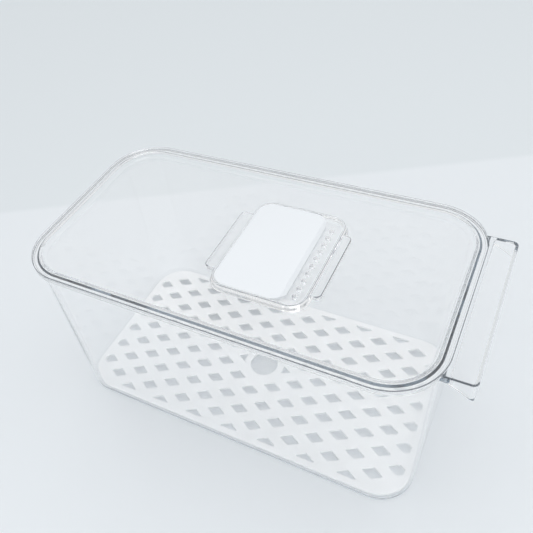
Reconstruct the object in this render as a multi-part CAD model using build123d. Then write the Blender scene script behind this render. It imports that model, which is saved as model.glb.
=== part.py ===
from build123d import *
import os

# A clear lidded refrigerator bin with a cup handle, a vented lid and a drain tray.
# Millimetres. The origin is the centre of the bin's resting face, +X runs to the handle, +Z is up.
# The handle's top lies level with the closed lid.

# Rim outline, shared by the bin's flange and the lid
RIM_LENGTH = 320.0
RIM_WIDTH = 174.0
RIM_RADIUS = 39.7

# Bin
BIN_HEIGHT = 159.0
BASE_LENGTH = 305.0
BASE_WIDTH = 160.4
BASE_RADIUS = 28.0
BIN_WALL = 1.5
FLOOR_THICKNESS = 2.2
BASE_EDGE_RADIUS = 5.0
WALL_INSET_AT_TOP = 4.0
FLANGE_THICKNESS = 1.6
SKIRT_DEPTH = 3.2
SKIRT_WALL = 1.5

# Cup handle, part of the bin's flange
HANDLE_REACH = 17.7
HANDLE_WIDTH = 127.0
HANDLE_DEPTH = 17.0
HANDLE_WALL = 1.8
HANDLE_CORNER = 4.0
HANDLE_EDGE_RADIUS = 0.9
HANDLE_ROOT = 30.0
HANDLE_SWEEP = (9.6, 5.2)
LID_GAP = 0.3

# Lid
LID_FLANGE = 2.0
LID_PANEL = 1.8
LID_RECESS = 5.0
PLUG_INSET = 6.2
PLUG_WALL = 1.6
PLUG_FOOT_RADIUS = 3.6
RECESS_FOOT_RADIUS = 2.4
LID_EDGE_RADIUS = 0.5

# Vent frame, fixed on the lid's panel
VENT_CENTRE_X = 26.5
VENT_LENGTH = 72.0
VENT_WIDTH = 94.4
VENT_RADIUS = 12.5
VENT_WALL = 1.2
VENT_DRAFT = 2.2
VENT_FLOOR = 1.2
WING_CENTRE_X = 25.0
WING_LENGTH = 90.0
WING_WIDTH = 64.0
WING_RADIUS = 4.0
WING_THICKNESS = 3.2
HOLE_COUNT = 10
HOLE_PITCH = 7.7
HOLE_RADIUS = 2.0
HOLE_ROW_X = 52.8

# Vent slider, with a runner along each side that rides in a groove of the frame
SLIDER_GAP = 0.3
SLIDER_LIFT = 0.2
SLIDER_LENGTH = 55.6
SLIDER_TRAVEL = 13.0
SLIDER_NOSE_RUN = 2.6
SLIDER_NOSE_FOOT = 1.2
SLIDER_EDGE_RADIUS = 0.4
RUNNER_START = 12.0
RUNNER_END = 44.5
RUNNER_DEPTH = 0.7
RUNNER_HEIGHT = 0.9
POCKET_DEPTH = 1.8
POCKET_WALL = 2.0
POCKET_SOLID_NOSE = 15.0
POCKET_COUNT = 3

# Drain tray
TRAY_LENGTH = 299.6
TRAY_WIDTH = 155.4
TRAY_RADIUS = 27.0
TRAY_PLATE = 1.8
TRAY_TOP = 7.5
TRAY_BORDER = 5.5
TRAY_EDGE_RADIUS = 1.1
TRAY_SKIRT_INSET = 1.2
TRAY_SKIRT_WALL = 1.6
TRAY_SKIRT_DEPTH = 2.3
CELL_HALF_X = 17.5
CELL_HALF_Y = 10.24
OPEN_SHARE = 0.486
HOLE_CORNER = 0.7
DRAIN_RADIUS = 12.5
DRAIN_RING_RADIUS = 18.5
FOOT_RADIUS = 3.5
FOOT_X = (-105.0, 0.0, 105.0)
FOOT_Y = 61.44
CELLS_EACH_WAY = (8, 7)

# How far a cutting shape runs past the face it cuts
PAST = 1.0

# Levels that follow from the sizes above
LID_TOP = BIN_HEIGHT + LID_FLANGE
PANEL_TOP = LID_TOP - LID_RECESS
PANEL_BOTTOM = PANEL_TOP - LID_PANEL
VENT_FLOOR_TOP = PANEL_TOP + VENT_FLOOR
SLIDER_BOTTOM = VENT_FLOOR_TOP + SLIDER_LIFT
SLIDER_LEFT = VENT_CENTRE_X - VENT_LENGTH / 2 + VENT_WALL + SLIDER_GAP
SLIDER_WIDTH = VENT_WIDTH - 2 * VENT_WALL - 2 * SLIDER_GAP
HANDLE_END = RIM_LENGTH / 2 + HANDLE_REACH


def block(length, width, radius, low, high, x=0.0):
    """A vertical block with rounded corners between two levels."""
    with BuildPart() as part:
        with BuildSketch(Plane.XY.offset(low)):
            with Locations((x, 0)):
                RectangleRounded(length, width, radius)
        extrude(amount=high - low)
    return part.part


def rim_block(inset, low, high):
    """A vertical block that follows the rim outline at a distance inside it."""
    return block(RIM_LENGTH - 2 * inset, RIM_WIDTH - 2 * inset, RIM_RADIUS - inset, low, high)


def edges_at(part, level):
    """The edges that lie flat at one level."""
    return part.edges().filter_by_position(Axis.Z, level - 0.01, level + 0.01)


def drafted_body(inset, low, edge_radius):
    """The bin's tapering body, drawn in from its outside by a wall's thickness, with a rounded foot."""
    top_inset = WALL_INSET_AT_TOP + inset
    with BuildPart() as part:
        with BuildSketch(Plane.XY.offset(low)):
            RectangleRounded(BASE_LENGTH - 2 * inset, BASE_WIDTH - 2 * inset, BASE_RADIUS - inset)
        with BuildSketch(Plane.XY.offset(BIN_HEIGHT)):
            RectangleRounded(
                RIM_LENGTH - 2 * top_inset,
                RIM_WIDTH - 2 * top_inset,
                RIM_RADIUS - top_inset,
            )
        loft(ruled=True)
        fillet(edges_at(part.part, low), edge_radius)
    return part.part


def handle_shell():
    """The cup handle: a top plate, a front lip and two closed ends.
    The lower edge of the ends sweeps down to the lip."""
    bottom = LID_TOP - HANDLE_DEPTH
    root = RIM_LENGTH / 2 - HANDLE_ROOT
    outer = block(HANDLE_END - root, HANDLE_WIDTH, HANDLE_CORNER, bottom, LID_TOP, (root + HANDLE_END) / 2)
    outer = fillet(edges_at(outer, LID_TOP), HANDLE_EDGE_RADIUS)
    pocket_start = RIM_LENGTH / 2 + HANDLE_WALL
    pocket_end = HANDLE_END - HANDLE_WALL
    pocket = block(
        pocket_end - pocket_start,
        HANDLE_WIDTH - 2 * HANDLE_WALL,
        HANDLE_CORNER - HANDLE_WALL,
        bottom - PAST,
        LID_TOP - HANDLE_WALL,
        (pocket_start + pocket_end) / 2,
    )
    skirt_bottom = BIN_HEIGHT - SKIRT_DEPTH
    start = (RIM_LENGTH / 2 - PAST, skirt_bottom)
    middle = (RIM_LENGTH / 2 + HANDLE_SWEEP[0], skirt_bottom - HANDLE_SWEEP[1])
    end = (HANDLE_END, bottom)
    far_end = (HANDLE_END, bottom - PAST)
    far_root = (root - PAST, bottom - PAST)
    near_root = (root - PAST, skirt_bottom)
    with BuildPart() as below:
        with BuildSketch(Plane.XZ):
            with BuildLine():
                Line(near_root, start)
                ThreePointArc(start, middle, end)
                Line(end, far_end)
                Line(far_end, far_root)
                Line(far_root, near_root)
            make_face()
        extrude(amount=HANDLE_WIDTH, both=True)
    return outer - pocket - below.part


def bin_tub():
    """The clear bin: tapering walls, a flat floor, a turned-down flange and the cup handle."""
    body = drafted_body(0.0, 0.0, BASE_EDGE_RADIUS)
    cavity = drafted_body(BIN_WALL, FLOOR_THICKNESS, BASE_EDGE_RADIUS - BIN_WALL)
    flange = rim_block(0.0, BIN_HEIGHT - SKIRT_DEPTH, BIN_HEIGHT)
    groove = rim_block(SKIRT_WALL, BIN_HEIGHT - SKIRT_DEPTH, BIN_HEIGHT - FLANGE_THICKNESS)
    lid_space = rim_block(-LID_GAP, BIN_HEIGHT, LID_TOP + PAST)
    return body + (flange + handle_shell() - groove) - cavity - lid_space


def lid():
    """The clear lid: a flat flange round a shallow dish that plugs into the bin."""
    flange = rim_block(0.0, BIN_HEIGHT, LID_TOP)
    flange = fillet(edges_at(flange, LID_TOP), LID_EDGE_RADIUS)
    plug = rim_block(PLUG_INSET, PANEL_BOTTOM, LID_TOP - LID_EDGE_RADIUS)
    plug = fillet(edges_at(plug, PANEL_BOTTOM), PLUG_FOOT_RADIUS)
    dish = rim_block(PLUG_INSET + PLUG_WALL, PANEL_TOP, LID_TOP + PAST)
    dish = fillet(edges_at(dish, PANEL_TOP), RECESS_FOOT_RADIUS)
    return flange + plug - dish - vent_holes(PANEL_BOTTOM - PAST, PANEL_TOP + PAST)


def vent_holes(low, high):
    """The row of round breathing holes across the bin."""
    with BuildPart() as holes:
        with Locations((HOLE_ROW_X, 0, (low + high) / 2)):
            with GridLocations(0, HOLE_PITCH, 1, HOLE_COUNT):
                Cylinder(HOLE_RADIUS, high - low)
    return holes.part


def runners(start, end, spread, low, high):
    """A pair of straight bars, one along each side of the slider, out to a distance from its side."""
    with BuildPart() as bars:
        with Locations(((start + end) / 2, 0, (low + high) / 2)):
            Box(end - start, SLIDER_WIDTH + 2 * spread, high - low)
            Box(end - start, SLIDER_WIDTH - 2 * PAST, high - low, mode=Mode.SUBTRACT)
    return bars.part


def vent_frame():
    """The clear tray-shaped frame that the slider runs in, with a low wing on each side."""
    with BuildPart() as rising:
        with BuildSketch(Plane.XY.offset(PANEL_TOP)):
            with Locations((VENT_CENTRE_X, 0)):
                RectangleRounded(
                    VENT_LENGTH + 2 * VENT_DRAFT,
                    VENT_WIDTH + 2 * VENT_DRAFT,
                    VENT_RADIUS + VENT_DRAFT,
                )
        with BuildSketch(Plane.XY.offset(LID_TOP)):
            with Locations((VENT_CENTRE_X, 0)):
                RectangleRounded(VENT_LENGTH, VENT_WIDTH, VENT_RADIUS)
        loft(ruled=True)
    wings = block(WING_LENGTH, WING_WIDTH, WING_RADIUS, PANEL_TOP, PANEL_TOP + WING_THICKNESS, WING_CENTRE_X)
    well = block(
        VENT_LENGTH - 2 * VENT_WALL,
        VENT_WIDTH - 2 * VENT_WALL,
        VENT_RADIUS - VENT_WALL,
        VENT_FLOOR_TOP,
        LID_TOP + PAST,
        VENT_CENTRE_X,
    )
    grooves = runners(
        SLIDER_LEFT + RUNNER_START - SLIDER_GAP,
        SLIDER_LEFT + RUNNER_END + SLIDER_TRAVEL + SLIDER_GAP,
        RUNNER_DEPTH + SLIDER_GAP,
        VENT_FLOOR_TOP,
        SLIDER_BOTTOM + RUNNER_HEIGHT + SLIDER_LIFT,
    )
    return rising.part + wings - well - grooves - vent_holes(PANEL_TOP - PAST, VENT_FLOOR_TOP + PAST)


def vent_slider():
    """The white slider: a slab with a sloping nose, a runner along each side and pockets underneath."""
    right = SLIDER_LEFT + SLIDER_LENGTH
    radius = VENT_RADIUS - VENT_WALL - SLIDER_GAP
    slab = block(SLIDER_LENGTH, SLIDER_WIDTH, radius, SLIDER_BOTTOM, LID_TOP, (SLIDER_LEFT + right) / 2)
    slab = fillet(edges_at(slab, LID_TOP), SLIDER_EDGE_RADIUS)
    with BuildPart() as nose:
        with BuildSketch(Plane.XZ):
            Polygon(
                (right - SLIDER_NOSE_RUN, LID_TOP),
                (right, SLIDER_BOTTOM + SLIDER_NOSE_FOOT),
                (right + PAST, SLIDER_BOTTOM + SLIDER_NOSE_FOOT),
                (right + PAST, LID_TOP + PAST),
                (right - SLIDER_NOSE_RUN, LID_TOP + PAST),
                align=None,
            )
        extrude(amount=SLIDER_WIDTH, both=True)
    bars = runners(
        SLIDER_LEFT + RUNNER_START,
        SLIDER_LEFT + RUNNER_END,
        RUNNER_DEPTH,
        SLIDER_BOTTOM,
        SLIDER_BOTTOM + RUNNER_HEIGHT,
    )
    pocket_start = SLIDER_LEFT + radius
    pocket_end = right - POCKET_SOLID_NOSE
    pocket_width = (SLIDER_WIDTH - POCKET_WALL) / POCKET_COUNT - POCKET_WALL
    with BuildPart() as pockets:
        with Locations(((pocket_start + pocket_end) / 2, 0, SLIDER_BOTTOM)):
            with GridLocations(0, pocket_width + POCKET_WALL, 1, POCKET_COUNT):
                Box(pocket_end - pocket_start, pocket_width, 2 * POCKET_DEPTH)
    return slab + bars - nose.part - pockets.part


def tray_block(inset, low, high):
    """A vertical block that follows the tray's outline at a distance inside it."""
    return block(TRAY_LENGTH - 2 * inset, TRAY_WIDTH - 2 * inset, TRAY_RADIUS - inset, low, high)


def tray_openings(low, high):
    """The diamond lattice of openings, clipped by the border and the ring round the drain hole.
    Each is drawn smaller by its corner radius and then grown by it, which rounds every corner."""
    across_flats = CELL_HALF_X * CELL_HALF_Y * OPEN_SHARE / (CELL_HALF_X**2 + CELL_HALF_Y**2) ** 0.5
    share = OPEN_SHARE * (1 - HOLE_CORNER / across_flats)
    border = TRAY_BORDER + HOLE_CORNER
    with BuildSketch(Plane.XY.offset(low)) as lattice:
        for i in range(-CELLS_EACH_WAY[0], CELLS_EACH_WAY[0] + 1):
            for j in range(-CELLS_EACH_WAY[1], CELLS_EACH_WAY[1] + 1):
                if (i + j) % 2:
                    with Locations((i * CELL_HALF_X, j * CELL_HALF_Y)):
                        Polygon(
                            (CELL_HALF_X * share, 0),
                            (0, CELL_HALF_Y * share),
                            (-CELL_HALF_X * share, 0),
                            (0, -CELL_HALF_Y * share),
                        )
        RectangleRounded(
            TRAY_LENGTH - 2 * border,
            TRAY_WIDTH - 2 * border,
            TRAY_RADIUS - border,
            mode=Mode.INTERSECT,
        )
        Circle(DRAIN_RING_RADIUS + HOLE_CORNER, mode=Mode.SUBTRACT)
        offset(amount=HOLE_CORNER, kind=Kind.ARC, mode=Mode.REPLACE)
        Circle(DRAIN_RADIUS)
    return extrude(lattice.sketch, high - low)


def drain_tray():
    """The white drain tray: a diamond lattice in a plain border, a low skirt and six short feet."""
    low = TRAY_TOP - TRAY_PLATE
    plate = fillet(edges_at(tray_block(0.0, low, TRAY_TOP), TRAY_TOP), TRAY_EDGE_RADIUS)
    skirt = tray_block(TRAY_SKIRT_INSET, low - TRAY_SKIRT_DEPTH, low + PAST)
    inside = tray_block(TRAY_SKIRT_INSET + TRAY_SKIRT_WALL, low - TRAY_SKIRT_DEPTH, low)
    with BuildPart() as feet:
        with BuildSketch(Plane.XY.offset(FLOOR_THICKNESS)):
            for x in FOOT_X:
                with Locations((x, FOOT_Y), (x, -FOOT_Y)):
                    Circle(FOOT_RADIUS)
        extrude(amount=TRAY_TOP - FLOOR_THICKNESS - PAST)
    return plate + (skirt - inside) + feet.part - tray_openings(low - PAST, TRAY_TOP + PAST)


PIECES = {
    "bin_tub": bin_tub,
    "lid": lid,
    "vent_frame": vent_frame,
    "vent_slider": vent_slider,
    "drain_tray": drain_tray,
}

os.makedirs("parts", exist_ok=True)
for name, make in PIECES.items():
    export_step(make(), f"parts/{name}.step")
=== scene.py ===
from math import acos, atan2, cos, hypot, pi, radians, sin, tan

import bmesh
import bpy
from mathutils import Matrix, Quaternion, Vector
from mathutils.geometry import delaunay_2d_cdt


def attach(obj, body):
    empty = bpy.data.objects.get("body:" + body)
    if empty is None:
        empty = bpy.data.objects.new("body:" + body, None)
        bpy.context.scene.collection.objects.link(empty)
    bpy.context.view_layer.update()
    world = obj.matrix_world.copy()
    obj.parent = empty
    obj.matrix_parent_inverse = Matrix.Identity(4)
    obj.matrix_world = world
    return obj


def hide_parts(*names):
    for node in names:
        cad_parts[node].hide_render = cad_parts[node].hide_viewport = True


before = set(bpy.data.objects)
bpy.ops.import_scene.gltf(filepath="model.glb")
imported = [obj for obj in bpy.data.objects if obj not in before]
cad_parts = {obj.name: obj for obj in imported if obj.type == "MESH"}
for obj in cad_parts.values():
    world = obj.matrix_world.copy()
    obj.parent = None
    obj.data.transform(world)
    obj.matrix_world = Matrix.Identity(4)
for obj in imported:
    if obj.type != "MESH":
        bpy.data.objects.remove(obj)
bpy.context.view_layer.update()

# A clear lidded refrigerator bin with a cup handle, a vented lid and a white drain tray.
# Sizes are in millimetres here and become metres in the meshes.
MM = 0.001
CORNER_STEPS = 18
ARC_STEPS = 5
SHARP_ANGLE = radians(32)
# Corners of a mesh that are closer than this, in metres, are one corner
SAME_PLACE = 1e-7
# A cutting solid reaches one of these distances past what it cuts
SPARE = 2.0
DEEP_SPARE = 3.0
FAR_SPARE = 20.0
# Enough to clear a rounding error
TINY = 0.01

# Rim outline, shared by the bin's flange and the lid
RIM_LENGTH, RIM_WIDTH, RIM_RADIUS = 320.0, 174.0, 39.7
BIN_HEIGHT = 159.0
LID_TOP = 161.0
# How much smaller the bin's outline is at its base than at its top
TAPER_LENGTH, TAPER_WIDTH, TAPER_RADIUS = 7.0, 5.6, 7.7
# Touching clear pieces are kept this far apart, so that each has its own surface
SKIN = 0.07
# Where the flat end faces of a rim-shaped solid begin, in from the rim
MIDDLE = 20.0


# ---------------------------------------------------------------- mesh helpers


def outline(length, width, radius, centre_x=0.0):
    """The points of a rounded rectangle, anticlockwise."""
    points = []
    for sx, sy, start in ((1, 1, 0), (-1, 1, 90), (-1, -1, 180), (1, -1, 270)):
        cx = centre_x + sx * (length / 2 - radius)
        cy = sy * (width / 2 - radius)
        for k in range(CORNER_STEPS + 1):
            a = radians(start + 90 * k / CORNER_STEPS)
            points.append((cx + radius * cos(a), cy + radius * sin(a)))
    return points


# Half the angle of a corner that is so nearly straight that it gets no arc
NEARLY_STRAIGHT = pi / 2 - 0.01


def rounded(profile):
    """A polyline of (across, z, radius) points with an arc at each point that has a radius."""
    done = [profile[0][:2]]
    for before, here, after in zip(profile, profile[1:], profile[2:]):
        p = Vector(here[:2])
        u = (Vector(before[:2]) - p).normalized()
        v = (Vector(after[:2]) - p).normalized()
        r = here[2]
        half = acos(max(-1.0, min(1.0, u.dot(v)))) / 2
        if r <= 0 or half > NEARLY_STRAIGHT:
            done.append(tuple(p))
            continue
        back = r / tan(half)
        centre = p + (u + v).normalized() * (r / sin(half))
        start = p + u * back - centre
        end = p + v * back - centre
        turn = atan2(start.x * end.y - start.y * end.x, start.dot(end))
        for k in range(ARC_STEPS + 1):
            a = turn * k / ARC_STEPS
            across = centre.x + start.x * cos(a) - start.y * sin(a)
            z = centre.y + start.x * sin(a) + start.y * cos(a)
            done.append((across, z))
    done.append(profile[-1][:2])
    return done


def new_object(name, mesh):
    """An object in the scene that shows a mesh."""
    obj = bpy.data.objects.new(name, mesh)
    bpy.context.scene.collection.objects.link(obj)
    return obj


def mesh_object(name, bm):
    """A new object from a bmesh, which is used up."""
    mesh = bpy.data.meshes.new(name)
    bm.to_mesh(mesh)
    bm.free()
    return new_object(name, mesh)


def add_walls(bm, rings):
    """Adds faces between each closed ring of corners and the next."""
    for a, b in zip(rings, rings[1:]):
        for k in range(len(a)):
            n = (k + 1) % len(a)
            bm.faces.new((a[k], a[n], b[n], b[k]))


def add_rings(bm, loops):
    """Adds a ring of corners for each (points, z) loop, with walls between them."""
    rings = [[bm.verts.new((x * MM, y * MM, z * MM)) for x, y in points] for points, z in loops]
    add_walls(bm, rings)
    return rings


def stacked(name, loops):
    """A closed mesh from loops of points, each joined to the next, with a flat face at both ends."""
    bm = bmesh.new()
    rings = add_rings(bm, loops)
    bm.faces.new(rings[0])
    bm.faces.new(rings[-1])
    bmesh.ops.remove_doubles(bm, verts=bm.verts, dist=SAME_PLACE)
    bmesh.ops.recalc_face_normals(bm, faces=bm.faces)
    return mesh_object(name, bm)


def rim_loops(profile, tapered=False):
    """Loops that follow the rim outline, from a profile of (distance in from the rim, z, radius)."""
    loops = []
    for inset, z in rounded(profile):
        t = 1 - z / BIN_HEIGHT if tapered else 0.0
        length = RIM_LENGTH - 2 * inset - TAPER_LENGTH * t
        width = RIM_WIDTH - 2 * inset - TAPER_WIDTH * t
        radius = RIM_RADIUS - inset - TAPER_RADIUS * t
        loops.append((outline(length, width, radius), z))
    return loops


# A block's corner radius is never less than this
LEAST_RADIUS = 0.05


def block_loops(length, width, radius, centre_x, profile):
    """Loops that follow one rounded rectangle, from a profile of (distance in from it, z, radius)."""
    return [
        (outline(length - 2 * i, width - 2 * i, max(radius - i, LEAST_RADIUS), centre_x), z)
        for i, z in rounded(profile)
    ]


def block(name, length, width, radius, centre_x, low, high, low_edge=0.0, high_edge=0.0, middle=1.0):
    """A solid rounded block. Its flat end faces begin a little way in from its outline."""
    profile = [(middle, low, 0), (0, low, low_edge), (0, high, high_edge), (middle, high, 0)]
    return stacked(name, block_loops(length, width, radius, centre_x, profile))


def prism(name, points, half_width):
    """A solid with an outline in X and Z that runs across the bin."""
    bm = bmesh.new()
    sides = [[bm.verts.new((x * MM, y * MM, z * MM)) for x, z in points] for y in (-half_width, half_width)]
    add_walls(bm, sides)
    for side in sides:
        bm.faces.new(side)
    bmesh.ops.recalc_face_normals(bm, faces=bm.faces)
    return mesh_object(name, bm)


def bar(name, start, end, low, high, half_width):
    """A straight bar across the bin."""
    return prism(name, [(start, low), (end, low), (end, high), (start, high)], half_width)


def combine(target, other, operation):
    """Joins other to target or cuts it from target, and removes other."""
    modifier = target.modifiers.new(operation, "BOOLEAN")
    modifier.operation = operation
    modifier.solver = "EXACT"
    modifier.object = other
    bpy.context.view_layer.update()
    evaluated = target.evaluated_get(bpy.context.evaluated_depsgraph_get())
    mesh = bpy.data.meshes.new_from_object(evaluated)
    target.modifiers.clear()
    old, target.data = target.data, mesh
    bpy.data.meshes.remove(old)
    spare = other.data
    bpy.data.objects.remove(other)
    bpy.data.meshes.remove(spare)


# Large faces count for as much as they can in a corner's normal
MOST_WEIGHT = 100


def smooth(obj):
    """Smooth shading that keeps flat faces flat and hard edges hard."""
    bm = bmesh.new()
    bm.from_mesh(obj.data)
    bmesh.ops.dissolve_degenerate(bm, edges=bm.edges, dist=SAME_PLACE)
    bm.to_mesh(obj.data)
    bm.free()
    obj.data.shade_smooth()
    obj.data.set_sharp_from_angle(angle=SHARP_ANGLE)
    weighted = obj.modifiers.new("Weighted normals", "WEIGHTED_NORMAL")
    weighted.mode = "FACE_AREA"
    weighted.weight = MOST_WEIGHT
    weighted.keep_sharp = True


def inside_rim(point):
    """How far a point of a mesh lies inside the rim outline, in millimetres."""
    x = abs(point.x) / MM - (RIM_LENGTH / 2 - RIM_RADIUS)
    y = abs(point.y) / MM - (RIM_WIDTH / 2 - RIM_RADIUS)
    return RIM_RADIUS - hypot(max(x, 0), max(y, 0)) - min(max(x, y), 0)


def tint_faces(obj, material, chosen):
    """Gives a second material to the faces that a test picks by their centre and normal."""
    obj.data.materials.append(material)
    for face in obj.data.polygons:
        if chosen(face.center, face.normal):
            face.material_index = 1


def finish_piece(obj, node, body, material):
    """Shades a piece, gives it its material, hides the part that it stands for and puts it in its body."""
    smooth(obj)
    obj.data.materials.clear()
    obj.data.materials.append(material)
    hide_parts(node)
    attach(obj, body)


# ---------------------------------------------------------------- materials


WHITE = (1.0, 1.0, 1.0)
PLASTIC_IOR = 1.5
# Most of a noise texture's values lie between these
NOISE_LOW, NOISE_HIGH = 0.3, 0.7
# Noise scales are in cells per metre, and heights and depths are in metres
GLOSS_SCALE, GLOSS_RANGE = 38.0, (0.012, 0.04)
WAVE_SCALE, WAVE_STRENGTH, WAVE_HEIGHT = 9.0, 0.25, 0.0004
TONE_SCALE, PATCH_SCALE = 14.0, 60.0
GRAIN_SCALE, GRAIN_HEIGHT = 1500.0, 0.00005
GLOW_DEPTH = 0.004


def start_material(name):
    """A new material with an empty node tree."""
    material = bpy.data.materials.new(name)
    material.use_nodes = True
    tree = material.node_tree
    tree.nodes.clear()
    return material, tree


def noise(tree, coordinates, scale, detail=3.0, roughness=0.5):
    """The value of a noise texture."""
    node = tree.nodes.new("ShaderNodeTexNoise")
    node.inputs["Scale"].default_value = scale
    node.inputs["Detail"].default_value = detail
    node.inputs["Roughness"].default_value = roughness
    tree.links.new(coordinates, node.inputs["Vector"])
    return node.outputs["Fac"]


def ranged(tree, value, low, high):
    """A noise value stretched to run from low to high."""
    node = tree.nodes.new("ShaderNodeMapRange")
    node.inputs["From Min"].default_value = NOISE_LOW
    node.inputs["From Max"].default_value = NOISE_HIGH
    node.inputs["To Min"].default_value = low
    node.inputs["To Max"].default_value = high
    tree.links.new(value, node.inputs["Value"])
    return node.outputs["Result"]


def two_tone(tree, value, dark, light):
    """A colour between dark and light that follows a noise value."""
    node = tree.nodes.new("ShaderNodeValToRGB")
    stops = node.color_ramp.elements
    for stop, position, colour in zip(stops, (NOISE_LOW, NOISE_HIGH), (dark, light)):
        stop.position = position
        stop.color = (*colour, 1)
    tree.links.new(value, node.inputs["Fac"])
    return node.outputs["Color"]


def bump(tree, height, strength, distance):
    """A surface normal tilted by a height."""
    node = tree.nodes.new("ShaderNodeBump")
    node.inputs["Strength"].default_value = strength
    node.inputs["Distance"].default_value = distance
    tree.links.new(height, node.inputs["Height"])
    return node.outputs["Normal"]


def clear_plastic(name, tint, depth_tint, depth):
    """Clear moulded plastic with faint waviness, a little uneven gloss and a tint along its walls.

    Lamps shine through it, so its shadow is light.
    """
    material, tree = start_material(name)
    place = tree.nodes.new("ShaderNodeTexCoord").outputs["Object"]
    surface = tree.nodes.new("ShaderNodeBsdfPrincipled")
    surface.inputs["Base Color"].default_value = (*tint, 1)
    surface.inputs["Transmission Weight"].default_value = 1.0
    surface.inputs["IOR"].default_value = PLASTIC_IOR
    cloud = noise(tree, place, GLOSS_SCALE)
    tree.links.new(ranged(tree, cloud, *GLOSS_RANGE), surface.inputs["Roughness"])
    wave = noise(tree, place, WAVE_SCALE, detail=1.0)
    tree.links.new(bump(tree, wave, WAVE_STRENGTH, WAVE_HEIGHT), surface.inputs["Normal"])
    lamp_pass = tree.nodes.new("ShaderNodeBsdfTransparent")
    lamp_pass.inputs["Color"].default_value = (*WHITE, 1)
    path = tree.nodes.new("ShaderNodeLightPath")
    mix = tree.nodes.new("ShaderNodeMixShader")
    tree.links.new(path.outputs["Is Shadow Ray"], mix.inputs["Fac"])
    tree.links.new(surface.outputs["BSDF"], mix.inputs[1])
    tree.links.new(lamp_pass.outputs["BSDF"], mix.inputs[2])
    output = tree.nodes.new("ShaderNodeOutputMaterial")
    tree.links.new(mix.outputs["Shader"], output.inputs["Surface"])
    absorbing = tree.nodes.new("ShaderNodeVolumeAbsorption")
    absorbing.inputs["Color"].default_value = (*depth_tint, 1)
    absorbing.inputs["Density"].default_value = depth
    tree.links.new(absorbing.outputs["Volume"], output.inputs["Volume"])
    return material


def white_plastic(name, dark, light, rough, grain, glow=0.0):
    """White moulded plastic with a fine grain and a little unevenness in tone and gloss."""
    material, tree = start_material(name)
    place = tree.nodes.new("ShaderNodeTexCoord").outputs["Object"]
    surface = tree.nodes.new("ShaderNodeBsdfPrincipled")
    surface.inputs["IOR"].default_value = PLASTIC_IOR
    surface.inputs["Subsurface Weight"].default_value = glow
    surface.inputs["Subsurface Radius"].default_value = WHITE
    surface.inputs["Subsurface Scale"].default_value = GLOW_DEPTH
    cloud = noise(tree, place, TONE_SCALE, detail=2.0)
    tree.links.new(two_tone(tree, cloud, dark, light), surface.inputs["Base Color"])
    patches = noise(tree, place, PATCH_SCALE, detail=4.0)
    tree.links.new(ranged(tree, patches, *rough), surface.inputs["Roughness"])
    fine = noise(tree, place, GRAIN_SCALE, detail=2.0, roughness=0.6)
    tree.links.new(bump(tree, fine, grain, GRAIN_HEIGHT), surface.inputs["Normal"])
    output = tree.nodes.new("ShaderNodeOutputMaterial")
    tree.links.new(surface.outputs["BSDF"], output.inputs["Surface"])
    return material


BIN_DEPTH_TINT = (0.3, 0.41, 0.5)
DEPTH_TINT = (0.4, 0.45, 0.5)
# Dark base colour for the outer edges of the clear pieces: painted shade for the dark lines that refraction
# and reflection draw along clear edges
PAINTED_EDGE_SHADE = (0.2, 0.22, 0.25)

CLEAR_TUB = clear_plastic("Clear plastic, bin", WHITE, BIN_DEPTH_TINT, 4.5)
# Clear plastic for the outer edges, with a dark base colour that is painted shade
CLEAR_PAINTED_EDGE_SHADE = clear_plastic("Clear plastic, painted edge shade", PAINTED_EDGE_SHADE, DEPTH_TINT, 2.0)
CLEAR_LID = clear_plastic("Clear plastic, lid", WHITE, DEPTH_TINT, 1.5)
CLEAR_FRAME = clear_plastic("Clear plastic, vent frame", WHITE, DEPTH_TINT, 2.0)
WHITE_SLIDER = white_plastic(
    "White plastic, slider",
    dark=(0.87, 0.9, 0.93),
    light=(0.89, 0.92, 0.95),
    rough=(0.32, 0.42),
    grain=0.2,
)
WHITE_TRAY = white_plastic(
    "White plastic, tray",
    dark=(0.885, 0.905, 0.93),
    light=(0.905, 0.925, 0.945),
    rough=(0.4, 0.52),
    grain=0.25,
    glow=0.6,
)


# ---------------------------------------------------------------- bin with its handle

# Walls are given by how far in from the rim their faces are
SKIRT_BOTTOM = 155.8
FLANGE_BOTTOM = 157.4
WALL_OUTSIDE = 4.0
WALL_INSIDE = 5.5
FLOOR_TOP = 2.2
SKIRT_WALL = 1.5
FLANGE_TOP = BIN_HEIGHT - SKIN
FLOOR_ROUNDING = 3.2
FOOT_ROUNDING = 5.0
MOUTH_ROUNDING = 0.35
SKIRT_ROUNDING = 0.4
UNDER_ROUNDING = 0.5

tub = stacked(
    "bin_moulding",
    rim_loops(
        [
            (MIDDLE, FLOOR_TOP, 0),
            (WALL_INSIDE, FLOOR_TOP, FLOOR_ROUNDING),
            (WALL_INSIDE, FLANGE_TOP, MOUTH_ROUNDING),
            (0, FLANGE_TOP, SKIRT_ROUNDING),
            (0, SKIRT_BOTTOM, SKIRT_ROUNDING),
            (SKIRT_WALL, SKIRT_BOTTOM, SKIRT_ROUNDING),
            (SKIRT_WALL, FLANGE_BOTTOM, SKIRT_ROUNDING),
            (WALL_OUTSIDE, FLANGE_BOTTOM, UNDER_ROUNDING),
            (WALL_OUTSIDE, 0, FOOT_ROUNDING),
            (MIDDLE, 0, 0),
        ],
        tapered=True,
    ),
)

HANDLE_END = 177.7
HANDLE_WIDTH = 127.0
HANDLE_WALL = 1.8
HANDLE_CORNER = 4.0
HANDLE_BOTTOM = 144.0
HANDLE_ROOT = 130.0
HANDLE_ROUNDING = 0.9
CUP_ROUNDING = 0.6
# The handle's underside curves from the skirt, through the second point, to the handle's outer end
SWEEP_START = (159.0, SKIRT_BOTTOM)
SWEEP_THROUGH = (169.6, 150.6)
SWEEP_STEPS = 16
# How far the handle runs into the flange, so that the two join
INSIDE_FLANGE = 0.05
INSIDE_SKIRT = 0.6
LID_GAP = 0.3

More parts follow.
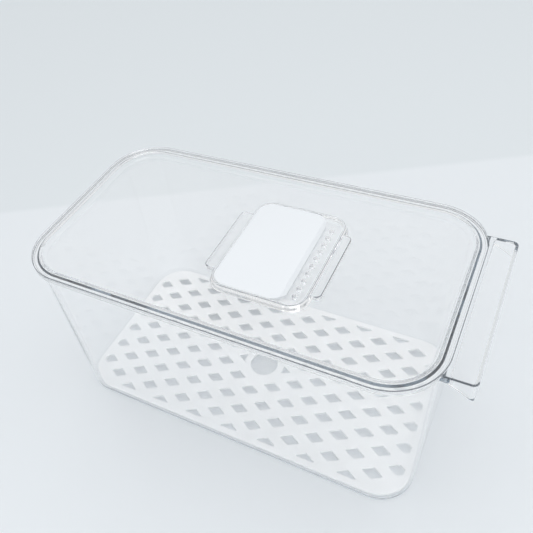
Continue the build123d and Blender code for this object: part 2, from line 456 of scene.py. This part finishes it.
root_length = HANDLE_END - HANDLE_ROOT
handle = block(
    "handle",
    root_length,
    HANDLE_WIDTH,
    HANDLE_CORNER,
    HANDLE_ROOT + root_length / 2,
    HANDLE_BOTTOM - DEEP_SPARE,
    LID_TOP,
    high_edge=HANDLE_ROUNDING,
)
pocket_start = RIM_LENGTH / 2 + HANDLE_WALL
pocket_end = HANDLE_END - HANDLE_WALL
pocket = block(
    "pocket",
    pocket_end - pocket_start,
    HANDLE_WIDTH - 2 * HANDLE_WALL,
    HANDLE_CORNER - HANDLE_WALL,
    (pocket_start + pocket_end) / 2,
    HANDLE_BOTTOM - FAR_SPARE,
    LID_TOP - HANDLE_WALL,
    high_edge=CUP_ROUNDING,
)
combine(handle, pocket, "DIFFERENCE")


def arc_through(a, b, c, steps):
    """Points on the circle through three points, from a to c."""
    ax, az, bx, bz, cx, cz = *a, *b, *c
    d = 2 * (ax * (bz - cz) + bx * (cz - az) + cx * (az - bz))
    sa, sb, sc = ax**2 + az**2, bx**2 + bz**2, cx**2 + cz**2
    ox = (sa * (bz - cz) + sb * (cz - az) + sc * (az - bz)) / d
    oz = (sa * (cx - bx) + sb * (ax - cx) + sc * (bx - ax)) / d
    r = hypot(ax - ox, az - oz)
    start, end = atan2(az - oz, ax - ox), atan2(cz - oz, cx - ox)
    angles = [start + (end - start) * k / steps for k in range(steps + 1)]
    return [(ox + r * cos(a), oz + r * sin(a)) for a in angles]


below = prism(
    "below",
    [
        (HANDLE_ROOT - FAR_SPARE, SKIRT_BOTTOM),
        *arc_through(SWEEP_START, SWEEP_THROUGH, (HANDLE_END, HANDLE_BOTTOM), SWEEP_STEPS),
        (HANDLE_END + FAR_SPARE, HANDLE_BOTTOM),
        (HANDLE_END + FAR_SPARE, HANDLE_BOTTOM - FAR_SPARE),
        (HANDLE_ROOT - FAR_SPARE, HANDLE_BOTTOM - FAR_SPARE),
    ],
    HANDLE_WIDTH,
)
combine(handle, below, "DIFFERENCE")


def rim_solid(name, inset, low, high):
    """A solid with the rim's outline moved in by a distance."""
    length, width = RIM_LENGTH - 2 * inset, RIM_WIDTH - 2 * inset
    return block(name, length, width, RIM_RADIUS - inset, 0.0, low, high, middle=MIDDLE)


for name, inset, low, high in (
    ("lid space", -LID_GAP, FLANGE_TOP - INSIDE_FLANGE, LID_TOP + FAR_SPARE),
    ("groove", SKIRT_WALL - INSIDE_FLANGE, HANDLE_BOTTOM - FAR_SPARE, FLANGE_BOTTOM + INSIDE_FLANGE),
    ("inside", SKIRT_WALL + INSIDE_SKIRT, HANDLE_BOTTOM - FAR_SPARE, LID_TOP + FAR_SPARE),
):
    combine(handle, rim_solid(name, inset, low, high), "DIFFERENCE")
combine(tub, handle, "UNION")
finish_piece(tub, "bin_tub", "bin", CLEAR_TUB)

# A face is level where its normal's Z is past LEVEL, and looks down where it is below DOWNWARD
LEVEL = 0.99
DOWNWARD = -0.3
# How far from an outer edge of the bin a face still counts as a part of it
EDGE_BAND = 0.5


def tub_painted_edge_shade(centre, normal):
    """The rounded ends of the handle's top, the edges of its underside and the skirt's lower edge, which
    are painted dark as shade.
    """
    x, y, z = (v / MM for v in centre)
    if x > RIM_LENGTH / 2 + EDGE_BAND:
        band = EDGE_BAND if y > 0 else 2 * EDGE_BAND
        end_rounding = z > LID_TOP - band and abs(y) > HANDLE_WIDTH / 2 - HANDLE_CORNER
        sweep_edge = normal.z < DOWNWARD and abs(y) > HANDLE_WIDTH / 2 - HANDLE_WALL
        return end_rounding and abs(normal.z) < LEVEL or sweep_edge
    return z < SKIRT_BOTTOM + EDGE_BAND and inside_rim(centre) < EDGE_BAND


# These edges get the clear plastic with painted edge shade
tint_faces(tub, CLEAR_PAINTED_EDGE_SHADE, tub_painted_edge_shade)


# ---------------------------------------------------------------- lid

PANEL_TOP = 156.0
PANEL_BOTTOM = 154.2
PLUG_OUTSIDE = 6.2
DISH_INSIDE = 7.8
STEP_DRAFT = 0.7
PLUG_ROUNDING = 3.8
LEDGE_ROUNDING = 0.6
RIM_LOW_ROUNDING = 0.3
RIM_HIGH_ROUNDING = 0.5
STEP_HIGH_ROUNDING = 1.6
STEP_LOW_ROUNDING = 2.2
# The rim's outer edge that takes the painted edge shade, in from the rim and down from the top
RIM_EDGE_WIDTH, RIM_EDGE_DEPTH = 0.52, 0.75
HOLE_RADIUS = 2.0
HOLE_COUNT = 10
HOLE_PITCH = 7.7
HOLE_ROW_X = 52.8
HOLE_STEPS = 28

lid = stacked(
    "lid_dish",
    rim_loops(
        [
            (MIDDLE, PANEL_BOTTOM, 0),
            (PLUG_OUTSIDE + STEP_DRAFT, PANEL_BOTTOM, PLUG_ROUNDING),
            (PLUG_OUTSIDE, BIN_HEIGHT, LEDGE_ROUNDING),
            (0, BIN_HEIGHT, RIM_LOW_ROUNDING),
            (0, LID_TOP, RIM_HIGH_ROUNDING),
            (DISH_INSIDE, LID_TOP, STEP_HIGH_ROUNDING),
            (DISH_INSIDE + STEP_DRAFT, PANEL_TOP, STEP_LOW_ROUNDING),
            (MIDDLE, PANEL_TOP, 0),
        ]
    ),
)


def hole_pins(name, low, high):
    """Round pins for the row of breathing holes, as one mesh."""
    bm = bmesh.new()
    for k in range(HOLE_COUNT):
        y = (k - (HOLE_COUNT - 1) / 2) * HOLE_PITCH
        centre = Vector((HOLE_ROW_X, y, (low + high) / 2)) * MM
        bmesh.ops.create_cone(
            bm,
            cap_ends=True,
            segments=HOLE_STEPS,
            radius1=HOLE_RADIUS * MM,
            radius2=HOLE_RADIUS * MM,
            depth=(high - low) * MM,
            matrix=Matrix.Translation(centre),
        )
    return mesh_object(name, bm)


def rim_painted_edge_shade(centre, normal):
    """The upper outer edge of the lid's rim, whichever way its faces look, which gets painted edge shade.
    """
    return inside_rim(centre) < RIM_EDGE_WIDTH and centre.z / MM > LID_TOP - RIM_EDGE_DEPTH


combine(lid, hole_pins("lid pins", PANEL_BOTTOM - SPARE, PANEL_TOP + SPARE), "DIFFERENCE")
finish_piece(lid, "lid", "lid_assembly", CLEAR_LID)
# The lid's rim edge gets the clear plastic with painted edge shade
tint_faces(lid, CLEAR_PAINTED_EDGE_SHADE, rim_painted_edge_shade)


# ---------------------------------------------------------------- vent frame

VENT_CENTRE_X = 26.5
VENT_LENGTH, VENT_WIDTH, VENT_RADIUS = 72.0, 94.4, 12.5
VENT_WALL = 1.2
VENT_DRAFT = 2.2
VENT_FLOOR_TOP = 157.2
VENT_MIDDLE = 4.0
VENT_LOW_ROUNDING, VENT_HIGH_ROUNDING = 0.3, 0.35
WELL_ROUNDING = 0.1
WING_CENTRE_X = 25.0
WING_LENGTH, WING_WIDTH, WING_RADIUS = 90.0, 64.0, 4.0
WING_TOP = 159.2
# The wings' undersides are a little above the frame's, so that the two don't lie in one plane
WING_LIFT = 1.5 * SKIN
WING_LOW_ROUNDING, WING_HIGH_ROUNDING = 0.2, 0.5
SLIDER_LEFT = -8.0
SLIDER_LENGTH, SLIDER_WIDTH, SLIDER_RADIUS = 55.6, 91.4, 11.0
SLIDER_BOTTOM = 157.4
SLIDER_TRAVEL = 13.0
RUNNER_START, RUNNER_END = 12.0, 44.5
RUNNER_DEPTH, RUNNER_HEIGHT = 0.7, 0.9
RUNNER_GAP = 0.3
RUNNER_LIFT = 0.03
GROOVE_LIFT = 0.05
GROOVE_HEADROOM = 0.2

vent = stacked(
    "vent_frame_tray",
    block_loops(
        VENT_LENGTH,
        VENT_WIDTH,
        VENT_RADIUS,
        VENT_CENTRE_X,
        [
            (VENT_MIDDLE, PANEL_TOP + SKIN, 0),
            (-VENT_DRAFT, PANEL_TOP + SKIN, VENT_LOW_ROUNDING),
            (0, LID_TOP, VENT_HIGH_ROUNDING),
            (VENT_MIDDLE, LID_TOP, 0),
        ],
    ),
)
wings = block(
    "wings",
    WING_LENGTH,
    WING_WIDTH,
    WING_RADIUS,
    WING_CENTRE_X,
    PANEL_TOP + WING_LIFT,
    WING_TOP,
    WING_LOW_ROUNDING,
    WING_HIGH_ROUNDING,
)
combine(vent, wings, "UNION")
well = block(
    "well",
    VENT_LENGTH - 2 * VENT_WALL,
    VENT_WIDTH - 2 * VENT_WALL,
    VENT_RADIUS - VENT_WALL,
    VENT_CENTRE_X,
    VENT_FLOOR_TOP,
    LID_TOP + DEEP_SPARE,
    WELL_ROUNDING,
)
combine(vent, well, "DIFFERENCE")
groove = bar(
    "runner grooves",
    SLIDER_LEFT + RUNNER_START - RUNNER_GAP,
    SLIDER_LEFT + RUNNER_END + SLIDER_TRAVEL + RUNNER_GAP,
    VENT_FLOOR_TOP + GROOVE_LIFT,
    SLIDER_BOTTOM + RUNNER_HEIGHT + GROOVE_HEADROOM,
    SLIDER_WIDTH / 2 + RUNNER_DEPTH + RUNNER_GAP,
)
combine(vent, groove, "DIFFERENCE")
combine(vent, hole_pins("frame pins", PANEL_TOP - SPARE, VENT_FLOOR_TOP + SPARE), "DIFFERENCE")
finish_piece(vent, "vent_frame", "lid_assembly", CLEAR_FRAME)

# The painted edge shade goes this far down the frame's upper edge and the wings', and this far in from a
# wing's end
FRAME_EDGE_DEPTH = 0.4
WING_EDGE_DEPTH = 0.6
WING_END = 4.8
# A face whose normal's Z is less than this is upright
UPRIGHT = 0.05


def frame_painted_edge_shade(centre, normal):
    """The rounded upper edges of the frame's walls and of its wings' ends, which get painted edge shade."""
    z = centre.z / MM
    top = z > LID_TOP - FRAME_EDGE_DEPTH and normal.z < LEVEL
    wing = WING_TOP - WING_EDGE_DEPTH < z < WING_TOP + TINY and UPRIGHT < normal.z < LEVEL
    return top or wing and abs(centre.x / MM - WING_CENTRE_X) > WING_LENGTH / 2 - WING_END


# These edges get the clear plastic with painted edge shade
tint_faces(vent, CLEAR_PAINTED_EDGE_SHADE, frame_painted_edge_shade)


# ---------------------------------------------------------------- vent slider

SLIDER_LOW_ROUNDING, SLIDER_HIGH_ROUNDING = 0.2, 0.45
# The end beside the breathing holes slopes back towards the top
NOSE_RUN = 2.6
NOSE_FOOT = 1.2
NOSE_UNDERCUT = 1.0
POCKET_DEPTH = 1.8
POCKET_WALL = 2.0
POCKET_COUNT = 3
POCKET_SOLID_NOSE = 15.0
POCKET_CORNER = 0.6

slider_right = SLIDER_LEFT + SLIDER_LENGTH
slider = block(
    "vent_slider_slab",
    SLIDER_LENGTH,
    SLIDER_WIDTH,
    SLIDER_RADIUS,
    SLIDER_LEFT + SLIDER_LENGTH / 2,
    SLIDER_BOTTOM,
    LID_TOP,
    SLIDER_LOW_ROUNDING,
    SLIDER_HIGH_ROUNDING,
)
runner = bar(
    "runners",
    SLIDER_LEFT + RUNNER_START,
    SLIDER_LEFT + RUNNER_END,
    SLIDER_BOTTOM + RUNNER_LIFT,
    SLIDER_BOTTOM + RUNNER_HEIGHT,
    SLIDER_WIDTH / 2 + RUNNER_DEPTH,
)
combine(slider, runner, "UNION")
nose = prism(
    "nose",
    [
        (slider_right - NOSE_RUN, LID_TOP),
        (slider_right, SLIDER_BOTTOM + NOSE_FOOT),
        (slider_right + SPARE, SLIDER_BOTTOM + NOSE_FOOT - NOSE_UNDERCUT),
        (slider_right + SPARE, LID_TOP + SPARE),
        (slider_right - NOSE_RUN - SPARE, LID_TOP + SPARE),
    ],
    SLIDER_WIDTH,
)
combine(slider, nose, "DIFFERENCE")
pocket_first = SLIDER_LEFT + SLIDER_RADIUS
pocket_last = slider_right - POCKET_SOLID_NOSE
pocket_width = (SLIDER_WIDTH - POCKET_WALL) / POCKET_COUNT - POCKET_WALL
for k in range(POCKET_COUNT):
    hollow = block(
        "hollow",
        pocket_last - pocket_first,
        pocket_width,
        POCKET_CORNER,
        (pocket_first + pocket_last) / 2,
        SLIDER_BOTTOM - SPARE,
        SLIDER_BOTTOM + POCKET_DEPTH,
    )
    aside = (k - (POCKET_COUNT - 1) / 2) * (pocket_width + POCKET_WALL)
    hollow.data.transform(Matrix.Translation((0, aside * MM, 0)))
    combine(slider, hollow, "DIFFERENCE")
finish_piece(slider, "vent_slider", "slider", WHITE_SLIDER)


# ---------------------------------------------------------------- drain tray

TRAY_LENGTH, TRAY_WIDTH, TRAY_RADIUS = 299.6, 155.4, 27.0
TRAY_TOP = 7.5
PLATE_BOTTOM = 5.7
SKIRT_LOW = 3.4
TRAY_EDGE = 1.1
TRAY_SKIRT_INSET = 1.2
TRAY_SKIRT_WALL = 1.6
TRAY_BORDER = 5.5
# The diamond lattice: half its pitch, how many rows lie on each side of the middle, and how open it is
CELL_HALF_X, CELL_HALF_Y = 17.5, 10.24
CELLS_X, CELLS_Y = 8, 7
OPEN_SHARE = 0.486
HOLE_CORNER = 0.7
HOLE_EDGE = 0.45
# The round drain hole in the middle has a solid ring round it
DRAIN_RADIUS = 12.5
DRAIN_RING_RADIUS = 18.5
DRAIN_STEPS = 72
FOOT_RADIUS = 3.5
FOOT_X = (-105.0, 0.0, 105.0)
FOOT_Y = 61.44
FOOT_LIFT = 0.05
FOOT_COVER = 1.0
TRAY_FOOT_ROUNDING = 0.6
PLATE_EDGE_BREAK = 0.2
SKIRT_EDGE_BREAK = 0.3
SKIRT_STEP = 0.02
# Steps round an opening's corner and along the ring's cut in it, and the length of a step to find it
CORNER_ARC = 3
RING_ARC = 8
RING_STEP = 0.1
# Three points of an opening are in line when the corner's cross product is below this
IN_LINE = 1e-4
# The shortest side that an opening keeps
SLIVER = 0.02


def side_of(a, b, p):
    """Positive where a point is to the left of the line from a to b."""
    return (b[0] - a[0]) * (p[1] - a[1]) - (b[1] - a[1]) * (p[0] - a[0])


def clipped(points, region):
    """The part of one convex outline that is inside another, both anticlockwise."""
    kept = points
    for k, a in enumerate(region):
        b = region[(k + 1) % len(region)]
        source, kept = kept, []
        for n, q in enumerate(source):
            p = source[n - 1]
            sp, sq = side_of(a, b, p), side_of(a, b, q)
            if (sp >= 0) != (sq >= 0):
                t = sp / (sp - sq)
                kept.append((p[0] + (q[0] - p[0]) * t, p[1] + (q[1] - p[1]) * t))
            if sq >= 0:
                kept.append(q)
        if not kept:
            return []
    return kept


def shortest_turn(start, end):
    """The angle from one direction to another, the short way round."""
    return (end - start + pi) % (2 * pi) - pi


def outside_ring(points, radius):
    """The part of a cell that is outside a circle at the origin, with an arc where the circle cuts it."""
    dense = []
    for n, q in enumerate(points):
        p = points[n - 1]
        dx, dy = q[0] - p[0], q[1] - p[1]
        steps = max(2, round(hypot(dx, dy) / RING_STEP))
        dense += [(p[0] + dx * k / steps, p[1] + dy * k / steps) for k in range(steps)]
    out = [hypot(*p) > radius for p in dense]
    if all(out):
        return points
    if not any(out):
        return []
    first = next(k for k in range(len(dense)) if out[k] and not out[k - 1])
    turned = dense[first:] + dense[:first]
    run = [p for p in turned if hypot(*p) > radius]
    corners = [run[0]]
    for a, b, c in zip(run, run[1:], run[2:]):
        if abs((b[0] - a[0]) * (c[1] - b[1]) - (b[1] - a[1]) * (c[0] - b[0])) > IN_LINE:
            corners.append(b)
    corners.append(run[-1])
    start, end = atan2(run[-1][1], run[-1][0]), atan2(run[0][1], run[0][0])
    turn = shortest_turn(start, end)
    angles = [start + turn * k / RING_ARC for k in range(1, RING_ARC)]
    return corners + [(radius * cos(a), radius * sin(a)) for a in angles]


def without_slivers(points):
    """An outline without the points that are very near the one before."""
    kept = []
    for p in points:
        if not kept or hypot(p[0] - kept[-1][0], p[1] - kept[-1][1]) > SLIVER:
            kept.append(p)
    while len(kept) > 2 and hypot(kept[0][0] - kept[-1][0], kept[0][1] - kept[-1][1]) <= SLIVER:
        kept.pop()
    return kept


def grown(points, amount):
    """An outline moved out by a distance, with an arc at each outer corner.

    The number of its points doesn't depend on the distance.
    """
    done = []
    for k, p in enumerate(points):
        a, c = points[k - 1], points[(k + 1) % len(points)]
        first = atan2(-(p[0] - a[0]), p[1] - a[1])
        second = atan2(-(c[0] - p[0]), c[1] - p[1])
        turn = shortest_turn(first, second)
        if turn < 0:
            first, turn = first + turn / 2, 0.0
        for n in range(CORNER_ARC + 1):
            angle = first + turn * n / CORNER_ARC
            done.append((p[0] + amount * cos(angle), p[1] + amount * sin(angle)))
    return done


def tray_rim(inset):
    """The tray's outline moved in by a distance."""
    return outline(TRAY_LENGTH - 2 * inset, TRAY_WIDTH - 2 * inset, TRAY_RADIUS - inset)


def circle(radius):
    """The drain hole's outline at a radius."""
    angles = [2 * pi * k / DRAIN_STEPS for k in range(DRAIN_STEPS)]
    return [(radius * cos(a), radius * sin(a)) for a in angles]


def edge_steps(radius):
    """(distance out, distance down) round a rounded edge."""
    angles = [pi / 2 * k / ARC_STEPS for k in range(ARC_STEPS + 1)]
    return [(radius * (1 - sin(a)), radius * (1 - cos(a))) for a in angles]


def lattice_cells():
    """The cores of the diamond openings. Each grows by the corner radius to the opening itself."""
    across_flats = CELL_HALF_X * CELL_HALF_Y * OPEN_SHARE / hypot(CELL_HALF_X, CELL_HALF_Y)
    core_share = OPEN_SHARE * (1 - HOLE_CORNER / across_flats)
    hx, hy = CELL_HALF_X * core_share, CELL_HALF_Y * core_share
    border = tray_rim(TRAY_BORDER + HOLE_CORNER)
    cells = []
    for i in range(-CELLS_X, CELLS_X + 1):
        for j in range(-CELLS_Y, CELLS_Y + 1):
            if (i + j) % 2:
                x, y = i * CELL_HALF_X, j * CELL_HALF_Y
                cell = clipped([(x + hx, y), (x, y + hy), (x - hx, y), (x, y - hy)], border)
                if cell:
                    cell = outside_ring(cell, DRAIN_RING_RADIUS + HOLE_CORNER)
                cell = without_slivers(cell)
                if len(cell) > 2:
                    cells.append(cell)
    return cells


def tray_stacks():
    """Loops from the top face to the bottom one: each opening, then the drain hole, then the outside."""
    stacks = []
    for cell in lattice_cells():
        loops = [(grown(cell, HOLE_CORNER + out), TRAY_TOP - down) for out, down in edge_steps(HOLE_EDGE)]
        stacks.append(loops + [(grown(cell, HOLE_CORNER), PLATE_BOTTOM)])
    drain = [(circle(DRAIN_RADIUS + out), TRAY_TOP - down) for out, down in edge_steps(HOLE_EDGE)]
    stacks.append(drain + [(circle(DRAIN_RADIUS), PLATE_BOTTOM)])
    inner = TRAY_SKIRT_INSET + TRAY_SKIRT_WALL
    outside = [(tray_rim(out), TRAY_TOP - down) for out, down in edge_steps(TRAY_EDGE)]
    outside += [
        (tray_rim(0.0), PLATE_BOTTOM + PLATE_EDGE_BREAK),
        (tray_rim(PLATE_EDGE_BREAK), PLATE_BOTTOM),
        (tray_rim(TRAY_SKIRT_INSET), PLATE_BOTTOM - SKIRT_STEP),
        (tray_rim(TRAY_SKIRT_INSET), SKIRT_LOW + SKIRT_EDGE_BREAK),
        (tray_rim(TRAY_SKIRT_INSET + SKIRT_EDGE_BREAK), SKIRT_LOW),
        (tray_rim(inner), SKIRT_LOW),
        (tray_rim(inner), PLATE_BOTTOM),
    ]
    stacks.append(outside)
    return stacks


# What delaunay_2d_cdt is asked for: every triangle, with points this close taken as one
EVERY_TRIANGLE, CLOSE_POINTS = 0, 1e-6
# A face whose normal's Z is past this is level, and level faces that turn less than this angle are joined
DEAD_LEVEL = 0.9999
JOIN_ANGLE = radians(0.5)


def fill(bm, groups):
    """A flat face round all the openings: the last group is its outside and the others are its holes."""
    flat = [v for group in groups for v in group]
    polygons, n = [], 0
    for group in groups:
        polygons.append(list(range(n, n + len(group))))
        n += len(group)
    points = [Vector((v.co.x / MM, v.co.y / MM)) for v in flat]
    found = delaunay_2d_cdt(points, [], polygons, EVERY_TRIANGLE, CLOSE_POINTS)
    _, _, faces, came_from, _, face_from = found
    outside = len(groups) - 1
    for face, source in zip(faces, face_from):
        if set(source) == {outside}:
            bm.faces.new([flat[came_from[k][0]] for k in face])


def between_level_faces(edge):
    """Whether an edge has a level face on each side."""
    faces = edge.link_faces
    return len(faces) == 2 and all(abs(f.normal.z) > DEAD_LEVEL for f in faces)


def lattice(name):
    """The tray's plate and skirt, with its openings."""
    bm = bmesh.new()
    tops, bottoms = [], []
    for loops in tray_stacks():
        rings = add_rings(bm, loops)
        tops.append(rings[0])
        bottoms.append(rings[-1])
    fill(bm, tops)
    fill(bm, bottoms)
    bmesh.ops.remove_doubles(bm, verts=bm.verts, dist=SAME_PLACE)
    bmesh.ops.recalc_face_normals(bm, faces=bm.faces)
    level_edges = [e for e in bm.edges if between_level_faces(e)]
    bmesh.ops.dissolve_limit(
        bm, angle_limit=JOIN_ANGLE, use_dissolve_boundaries=False, verts=[], edges=level_edges
    )
    return mesh_object(name, bm)


tray = lattice("tray_lattice")
for x in FOOT_X:
    for y in (FOOT_Y, -FOOT_Y):
        foot = block(
            "foot",
            2 * FOOT_RADIUS,
            2 * FOOT_RADIUS,
            FOOT_RADIUS - TINY,
            x,
            FLOOR_TOP + FOOT_LIFT,
            TRAY_TOP - FOOT_COVER,
            TRAY_FOOT_ROUNDING,
        )
        foot.data.transform(Matrix.Translation((0, y * MM, 0)))
        combine(tray, foot, "UNION")
finish_piece(tray, "drain_tray", "tray", WHITE_TRAY)
# Light reaches the floor under the thin translucent lattice
tray.visible_shadow = False


# ---------------------------------------------------------------- floor, light and camera

# From here on, places and sizes are in metres
REACH = 4.0
FLOOR_HEIGHT = -0.0002
FLOOR_ROUGHNESS = 0.7
# The floor is a little darker beyond a straight line, given by its normal and its distance from the origin
TONE_LINE_NORMAL = (-0.477, 0.879, 0.0)
TONE_LINE_DISTANCE = 0.277
TONE_LINE_BLUR = 0.006
NEAR_TONE = (0.84, 0.875, 0.905)
FAR_TONE = (0.785, 0.828, 0.853)
# The surroundings by height: pale behind the bin, with a darker room on the camera's side
BACKDROP_SIDE = ((0.0, (0.8, 0.83, 0.85)), (0.3, (0.84, 0.86, 0.88)), (1.0, WHITE))
ROOM_SIDE = ((0.0, (0.5, 0.53, 0.56)), (0.2, (0.53, 0.56, 0.59)), (0.4, (0.8, 0.83, 0.85)), (1.0, WHITE))
ROOM_DIRECTION = (0.45, -0.89, 0.0)
ROOM_BLEND = (-0.25, 0.35)
WORLD_STRENGTH = 0.925
# Sockets of a colour mix node
MIX_SHARE, MIX_FIRST, MIX_SECOND, MIX_RESULT = 0, 6, 7, 2

scene = bpy.context.scene


def blend_along(tree, coordinates, axis, low, high):
    """A share that rises smoothly from 0 to 1 as the distance along an axis goes from low to high."""
    along = tree.nodes.new("ShaderNodeVectorMath")
    along.operation = "DOT_PRODUCT"
    along.inputs[1].default_value = axis
    tree.links.new(coordinates, along.inputs[0])
    share = tree.nodes.new("ShaderNodeMapRange")
    share.interpolation_type = "SMOOTHSTEP"
    share.inputs["From Min"].default_value = low
    share.inputs["From Max"].default_value = high
    tree.links.new(along.outputs["Value"], share.inputs["Value"])
    return share.outputs["Result"]


def colour_mix(tree, share):
    """A colour mix node that follows a share."""
    mix = tree.nodes.new("ShaderNodeMix")
    mix.data_type = "RGBA"
    tree.links.new(share, mix.inputs[MIX_SHARE])
    return mix


def pale_floor():
    """Matt floor in two tones."""
    material, tree = start_material("Pale floor")
    place = tree.nodes.new("ShaderNodeTexCoord").outputs["Object"]
    near, far = TONE_LINE_DISTANCE - TONE_LINE_BLUR, TONE_LINE_DISTANCE + TONE_LINE_BLUR
    tone = colour_mix(tree, blend_along(tree, place, TONE_LINE_NORMAL, near, far))
    tone.inputs[MIX_FIRST].default_value = (*NEAR_TONE, 1)
    tone.inputs[MIX_SECOND].default_value = (*FAR_TONE, 1)
    surface = tree.nodes.new("ShaderNodeBsdfPrincipled")
    surface.inputs["Roughness"].default_value = FLOOR_ROUGHNESS
    tree.links.new(tone.outputs[MIX_RESULT], surface.inputs["Base Color"])
    output = tree.nodes.new("ShaderNodeOutputMaterial")
    tree.links.new(surface.outputs["BSDF"], output.inputs["Surface"])
    return material


floor_mesh = bpy.data.meshes.new("floor")
corners = [(-REACH, -REACH), (REACH, -REACH), (REACH, REACH), (-REACH, REACH)]
floor_mesh.from_pydata([(x, y, FLOOR_HEIGHT) for x, y in corners], [], [(0, 1, 2, 3)])
floor = new_object("floor", floor_mesh)
floor.data.materials.append(pale_floor())


def sky_ramp(tree, height, stops):
    """A colour that follows the height of a direction."""
    ramp = tree.nodes.new("ShaderNodeValToRGB")
    while len(ramp.color_ramp.elements) < len(stops):
        ramp.color_ramp.elements.new(0.5)
    for element, (position, colour) in zip(ramp.color_ramp.elements, stops):
        element.position = position
        element.color = (*colour, 1)
    tree.links.new(height, ramp.inputs["Fac"])
    return ramp.outputs["Color"]


def studio_world():
    """Even light from all round, with a darker room on one side."""
    world = bpy.data.worlds.new("Studio")
    world.use_nodes = True
    tree = world.node_tree
    tree.nodes.clear()
    direction = tree.nodes.new("ShaderNodeTexCoord").outputs["Generated"]
    split = tree.nodes.new("ShaderNodeSeparateXYZ")
    tree.links.new(direction, split.inputs["Vector"])
    height = split.outputs["Z"]
    sky = colour_mix(tree, blend_along(tree, direction, ROOM_DIRECTION, *ROOM_BLEND))
    tree.links.new(sky_ramp(tree, height, BACKDROP_SIDE), sky.inputs[MIX_FIRST])
    tree.links.new(sky_ramp(tree, height, ROOM_SIDE), sky.inputs[MIX_SECOND])
    background = tree.nodes.new("ShaderNodeBackground")
    background.inputs["Strength"].default_value = WORLD_STRENGTH
    tree.links.new(sky.outputs[MIX_RESULT], background.inputs["Color"])
    output = tree.nodes.new("ShaderNodeOutputWorld")
    tree.links.new(background.outputs["Background"], output.inputs["Surface"])
    return world


scene.world = studio_world()


def area_light(name, place, target, size, power, colour):
    """A square lamp turned towards a target."""
    data = bpy.data.lights.new(name, "AREA")
    data.shape = "RECTANGLE"
    data.size = data.size_y = size
    data.energy = power
    data.color = colour
    obj = bpy.data.objects.new(name, data)
    scene.collection.objects.link(obj)
    obj.location = place
    obj.rotation_euler = (Vector(target) - Vector(place)).to_track_quat("-Z", "Y").to_euler()


area_light("Soft key", place=(0.9, -0.9, 1.3), target=(0.1, -0.1, 0.0), size=1.2, power=7.0, colour=WHITE)

CAMERA_PLACE = (0.17411, -0.27792, 0.46122)
# The camera's turn from looking along +Z with +Y down, as an axis times an angle
CAMERA_TURN = Vector((2.3395, 0.5118, -0.3732))
# The lens and the sensor are in millimetres, and the shift is in widths of the frame
LENS, SENSOR_WIDTH = 40.47, 36.0
SHIFT = (0.0632, 0.0141)
CLIP_START = 0.01

camera_data = bpy.data.cameras.new("Camera")
camera_data.sensor_width = SENSOR_WIDTH
camera_data.lens = LENS
camera_data.shift_x, camera_data.shift_y = SHIFT
camera_data.clip_start = CLIP_START
camera = bpy.data.objects.new("Camera", camera_data)
scene.collection.objects.link(camera)
looking = Quaternion(CAMERA_TURN.normalized(), CAMERA_TURN.length).to_matrix()
flip = Matrix.Diagonal((1, -1, -1))
camera.matrix_world = Matrix.Translation(CAMERA_PLACE) @ (looking.transposed() @ flip).to_4x4()
scene.camera = camera

# Light runs a long way inside the clear walls
LIGHT_BOUNCES = 256
SOFT_BOUNCES = 64

scene.view_settings.view_transform = "Standard"
scene.cycles.use_denoising = True
scene.cycles.max_bounces = LIGHT_BOUNCES
scene.cycles.glossy_bounces = LIGHT_BOUNCES
scene.cycles.diffuse_bounces = SOFT_BOUNCES
scene.cycles.transmission_bounces = LIGHT_BOUNCES
scene.cycles.transparent_max_bounces = LIGHT_BOUNCES
